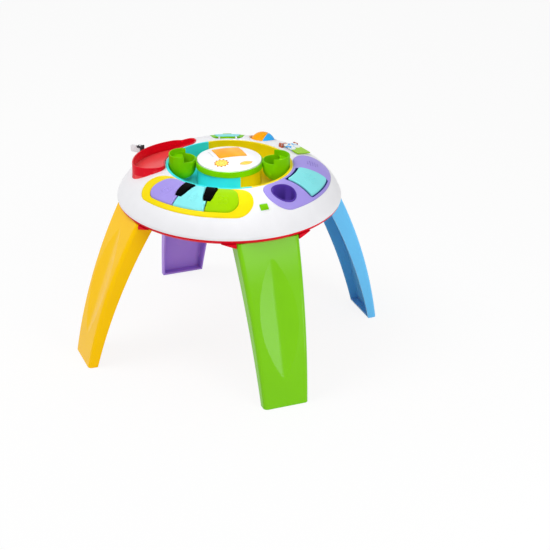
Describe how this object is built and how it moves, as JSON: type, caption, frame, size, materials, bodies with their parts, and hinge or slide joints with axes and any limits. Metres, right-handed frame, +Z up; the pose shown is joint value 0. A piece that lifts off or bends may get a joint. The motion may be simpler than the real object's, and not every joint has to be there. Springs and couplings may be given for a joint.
{
  "type": "toddler activity table",
  "caption": "Round domed toddler activity table on splayed moulded legs, with a spinning cup carousel, piano keys, ramp tray, lift flap, turning page and seated play ball.",
  "frame": {"origin": "centre of the table on the floor, between the feet", "axes": "+Z up; the piano faces -Y, the press plate and peg socket +X, the ramp tray -X, the flap and page +Y"},
  "size_m": [0.4538, 0.4538, 0.3595],
  "materials": {
    "white": "glossy",
    "red": "glossy",
    "orange_yellow": "glossy",
    "green": "glossy",
    "blue": "glossy",
    "purple": "glossy",
    "turquoise": "glossy",
    "yellow": "glossy",
    "lilac": "glossy",
    "aqua": "glossy",
    "lime": "glossy",
    "black": "glossy",
    "dark_purple": "glossy",
    "navy": "satin",
    "amber": "glossy",
    "sky": "glossy",
    "charcoal": "satin",
    "brick": "glossy",
    "paper": "satin",
    "natural": "satin",
    "board": "satin",
    "cell": "satin",
    "steel": "bright",
    "speaker": "dull"
  },
  "bodies": {
    "table": {"top_shell": "white", "base_shell": "red", "leg_front_right": "green", "leg_front_left": "orange_yellow", "leg_back_left": "purple", "leg_back_right": "blue", "screw_front_right": "steel", "screw_front_left": "steel", "screw_back_left": "steel", "screw_back_right": "steel", "bowl_turquoise": "turquoise", "bowl_yellow": "yellow", "spindle": "natural", "thrust_washer": "natural", "light_board": "board", "centre_cap": "white", "light_window": "amber", "piano_bezel": "yellow", "black_key_left": "black", "black_key_right": "black", "side_panel": "lilac", "peg_socket": "dark_purple", "plate_liner": "navy", "ramp_tray": "red", "paddle_bracket": "charcoal", "back_panel": "white", "ball_well": "white", "page_spine": "brick", "switch_body": "charcoal", "speaker": "speaker", "main_board": "board", "battery_box": "natural", "cell_one": "cell", "cell_two": "cell", "cell_three": "cell", "battery_door": "red", "door_screw": "steel"},
    "carousel": {"carousel_hub": "green", "cup_right": "green", "cup_left": "green"},
    "purple_key": {"key_purple": "lilac"},
    "turquoise_key": {"key_turquoise": "aqua"},
    "green_key": {"key_green": "lime"},
    "plate": {"press_plate": "aqua"},
    "knob": {"switch_knob": "green"},
    "flap": {"lift_flap": "green", "flap_insert": "aqua"},
    "leaf": {"page": "paper"},
    "paddle_arm": {"paddle": "white"},
    "play_ball": {"ball_half_orange": "amber", "ball_half_blue": "sky"}
  },
  "joints": [
    {"name": "carousel_spin", "type": "hinge", "parent": "table", "child": "carousel", "pos_m": [0, 0, 0.343], "axis": [0, 0, 1], "continuous": true},
    {"name": "purple_key_press", "type": "hinge", "parent": "table", "child": "purple_key", "pos_m": [-0.04376, -0.11281, 0.33581], "axis": [0.9323, -0.3616, 0], "range_deg": [0, 3.5], "stiffness_Nm_per_rad": 1, "springref_deg": -1.15},
    {"name": "turquoise_key_press", "type": "hinge", "parent": "table", "child": "turquoise_key", "pos_m": [0.00063, -0.121, 0.33581], "axis": [1, 0.0052, 0], "range_deg": [0, 3.5], "stiffness_Nm_per_rad": 1, "springref_deg": -1.15},
    {"name": "green_key_press", "type": "hinge", "parent": "table", "child": "green_key", "pos_m": [0.04238, -0.11334, 0.33581], "axis": [0.9367, 0.3502, 0], "range_deg": [0, 3.5], "stiffness_Nm_per_rad": 1, "springref_deg": -1.15},
    {"name": "plate_press", "type": "hinge", "parent": "table", "child": "plate", "pos_m": [0.16893, 0.00501, 0.31853], "axis": [0.0297, -0.9996, 0], "range_deg": [0, 4], "stiffness_Nm_per_rad": 1, "springref_deg": -1.72},
    {"name": "switch_slide", "type": "slide", "parent": "table", "child": "knob", "axis": [0.7071, 0.7071, 0], "range_m": [-0.003, 0.003]},
    {"name": "flap_lift", "type": "hinge", "parent": "table", "child": "flap", "pos_m": [-0.05326, 0.1092, 0.34091], "axis": [0.8988, 0.4384, 0], "range_deg": [0, 80]},
    {"name": "page_turn", "type": "hinge", "parent": "table", "child": "leaf", "pos_m": [0.0562, 0.10569, 0.3465], "axis": [-0.4609, -0.8668, 0.1903], "range_deg": [0, 105]},
    {"name": "paddle_swing", "type": "hinge", "parent": "table", "child": "paddle_arm", "pos_m": [-0.1785, 0, 0.3391], "axis": [0, 0, 1], "range_deg": [-45, 45]},
    {"name": "ball_lift", "type": "slide", "parent": "table", "child": "play_ball", "axis": [0, 0, 1], "range_m": [0, 0.06]}
  ]
}
